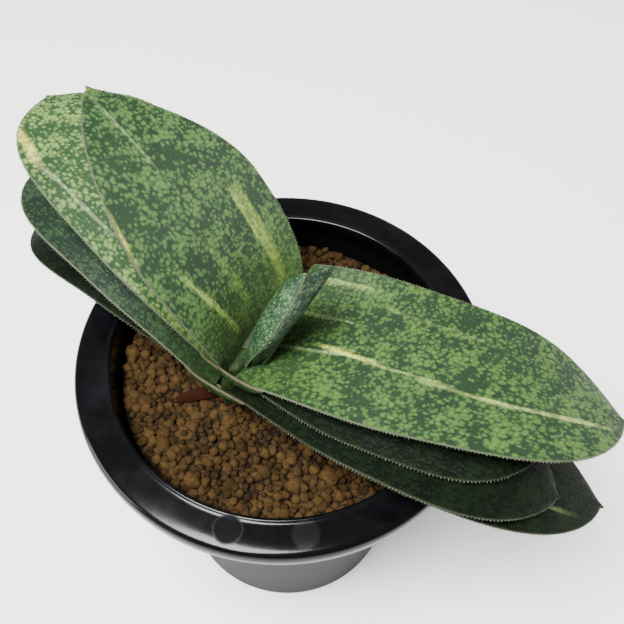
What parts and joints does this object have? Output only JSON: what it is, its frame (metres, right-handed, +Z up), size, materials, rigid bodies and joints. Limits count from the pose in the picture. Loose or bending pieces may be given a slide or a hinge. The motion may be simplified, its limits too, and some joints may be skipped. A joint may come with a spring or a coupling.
{
  "type": "potted gasteria",
  "caption": "Gasteria succulent with broad speckled blades in two opposite stacks, in a tall round black plastic pot filled with baked clay granules",
  "frame": {"origin": "the middle of the pot's underside, on the surface that it stands on", "axes": "+Z runs up the pot's axis; the two stacks of blades reach towards (-0.82, 0.57, 0) and (0.82, -0.57, 0), so -Y is the side that the picture was taken from"},
  "size_m": [0.1713, 0.1292, 0.1713],
  "materials": {
    "pot_plastic": "gloss",
    "baked_clay": "matte",
    "stem_skin": "satin",
    "leaf_skin": "satin",
    "young_leaf_skin": "satin",
    "dry_leaf": "matte"
  },
  "bodies": {
    "root": {"pot": "pot_plastic", "soil": "baked_clay", "stem": "stem_skin", "dry_leaf": "dry_leaf", "leaf_left_1": "leaf_skin", "leaf_left_2": "leaf_skin", "leaf_left_3": "leaf_skin", "leaf_left_4": "leaf_skin", "leaf_right_1": "leaf_skin", "leaf_right_2": "leaf_skin", "leaf_right_3": "leaf_skin", "leaf_right_4": "leaf_skin", "leaf_young_1": "young_leaf_skin", "leaf_young_2": "young_leaf_skin"}
  },
  "joints": []
}
